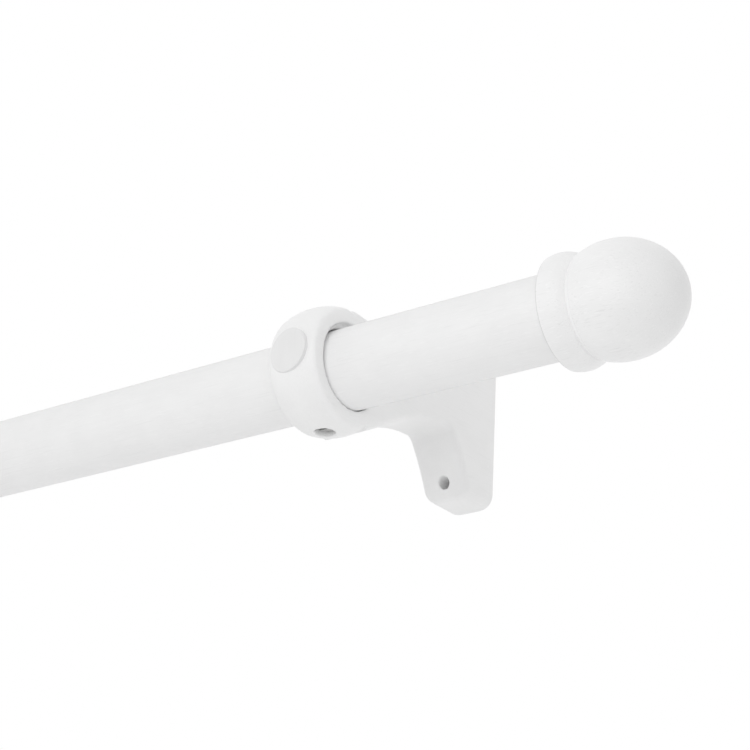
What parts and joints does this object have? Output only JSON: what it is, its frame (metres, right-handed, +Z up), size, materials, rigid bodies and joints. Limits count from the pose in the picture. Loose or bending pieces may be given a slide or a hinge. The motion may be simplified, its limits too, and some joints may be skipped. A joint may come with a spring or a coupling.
{
  "type": "wooden curtain rod",
  "caption": "White-painted round wooden curtain rod with ball finials, carried by one-piece wooden wall brackets with ball-shaped rings.",
  "frame": {"origin": "middle of the four wall-screw holes, in the plane of the wall", "axes": "+X along the pole, +Y from the room into the wall, +Z up"},
  "size_m": [1.2824, 0.1091, 0.0634],
  "materials": {
    "pole_paint": "smooth satin white paint on turned wood",
    "bracket_paint": "satin white paint over sanded wood, faint grain and brush marks",
    "plug_paint": "satin white paint on a flat wooden disc",
    "finial_paint": "satin white paint on turned wood, faint grain",
    "bare_beech": "bare beech dowel",
    "screw_steel": "zinc-plated steel"
  },
  "bodies": {
    "brackets": {"bracket_left": "bracket_paint", "front_plug_left": "plug_paint", "bracket_right": "bracket_paint", "front_plug_right": "plug_paint"},
    "pole": {"pole": "pole_paint"},
    "finial_left": {"finial_left": "finial_paint", "finial_peg_left": "bare_beech"},
    "lock_screw_left": {"lock_screw_left": "screw_steel"},
    "finial_right": {"finial_right": "finial_paint", "finial_peg_right": "bare_beech"},
    "lock_screw_right": {"lock_screw_right": "screw_steel"}
  },
  "joints": [
    {"name": "pole_slide", "type": "slide", "parent": "brackets", "child": "pole", "axis": [1, 0, 0], "range_m": [-0.082, 0.082]},
    {"name": "finial_left_pull", "type": "slide", "parent": "pole", "child": "finial_left", "axis": [-1, 0, 0], "range_m": [0, 0.025]},
    {"name": "lock_screw_left_out", "type": "slide", "parent": "brackets", "child": "lock_screw_left", "axis": [0, 0, -1], "range_m": [0, 0.003]},
    {"name": "finial_right_pull", "type": "slide", "parent": "pole", "child": "finial_right", "axis": [1, 0, 0], "range_m": [0, 0.025]},
    {"name": "lock_screw_right_out", "type": "slide", "parent": "brackets", "child": "lock_screw_right", "axis": [0, 0, -1], "range_m": [0, 0.003]}
  ]
}
